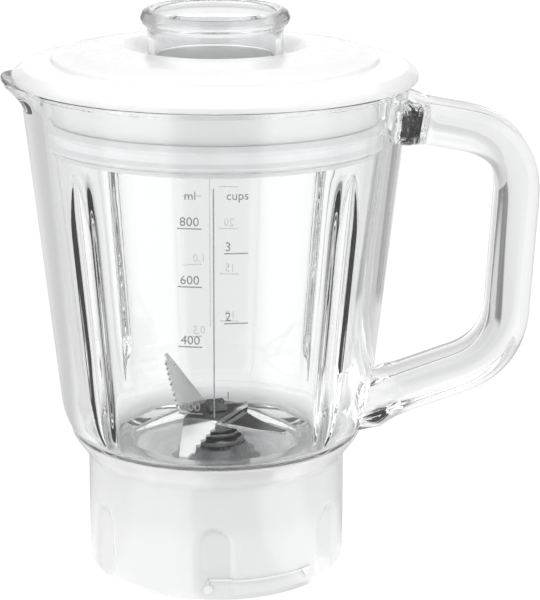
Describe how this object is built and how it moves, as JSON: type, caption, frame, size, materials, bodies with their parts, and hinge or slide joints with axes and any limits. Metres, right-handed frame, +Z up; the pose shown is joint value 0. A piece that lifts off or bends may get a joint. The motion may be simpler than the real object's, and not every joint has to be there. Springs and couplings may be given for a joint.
{
  "type": "countertop blender jug",
  "caption": "Glass blender jug with a handle and spout, on a locking base ring, with a bladed knife unit, a plug-in lid and a filler cup.",
  "frame": {"origin": "on the floor, under the middle of the object's whole length; the jug's own axis stands towards the spout from it", "axes": "+X towards the handle, -X towards the spout, +Z up along the jug axis"},
  "size_m": [0.183, 0.1372, 0.196],
  "materials": {
    "black_plastic": "black moulded nylon",
    "blade_steel": "ground and polished stainless steel",
    "clear_glass": "clear polished glass",
    "clear_plastic": "clear moulded plastic, polished",
    "dark_rubber": "black rubber",
    "grey_plastic": "dark grey moulded plastic",
    "pale_rubber": "translucent white silicone",
    "plain_steel": "turned steel",
    "sintered_bronze": "sintered bronze",
    "white_plastic": "glossy white moulded plastic"
  },
  "bodies": {
    "base": {"base_ring": "white_plastic", "knife_carrier": "grey_plastic", "jug_gasket": "pale_rubber", "bearing_sleeve": "plain_steel", "lower_bush": "sintered_bronze", "upper_bush": "sintered_bronze", "shaft_seal": "dark_rubber", "seal_cap": "plain_steel"},
    "rotor": {"blade_shaft": "plain_steel", "slinger_disc": "plain_steel", "blade_spacer": "plain_steel", "lower_blade": "blade_steel", "upper_blade": "blade_steel", "blade_nut": "plain_steel", "thrust_washer": "plain_steel", "circlip": "plain_steel", "drive_coupling": "black_plastic", "coupling_pin": "plain_steel"},
    "jug": {"glass_jug": "clear_glass"},
    "lid": {"lid": "white_plastic", "lid_seal": "pale_rubber"},
    "cup": {"measuring_cup": "clear_plastic"}
  },
  "joints": [
    {"name": "blade_spin", "type": "hinge", "parent": "base", "child": "rotor", "pos_m": [-0.01892, 0, 0.04], "axis": [0, 0, 1], "continuous": true},
    {"name": "jug_turn", "type": "hinge", "parent": "base", "child": "jug", "pos_m": [-0.01892, 0, 0.04], "axis": [0, 0, 1], "range_deg": [0, 60]},
    {"name": "lid_lift", "type": "slide", "parent": "jug", "child": "lid", "axis": [0, 0, 1], "range_m": [0, 0.035]},
    {"name": "cup_lift", "type": "slide", "parent": "lid", "child": "cup", "axis": [0, 0, 1], "range_m": [0, 0.03]}
  ]
}
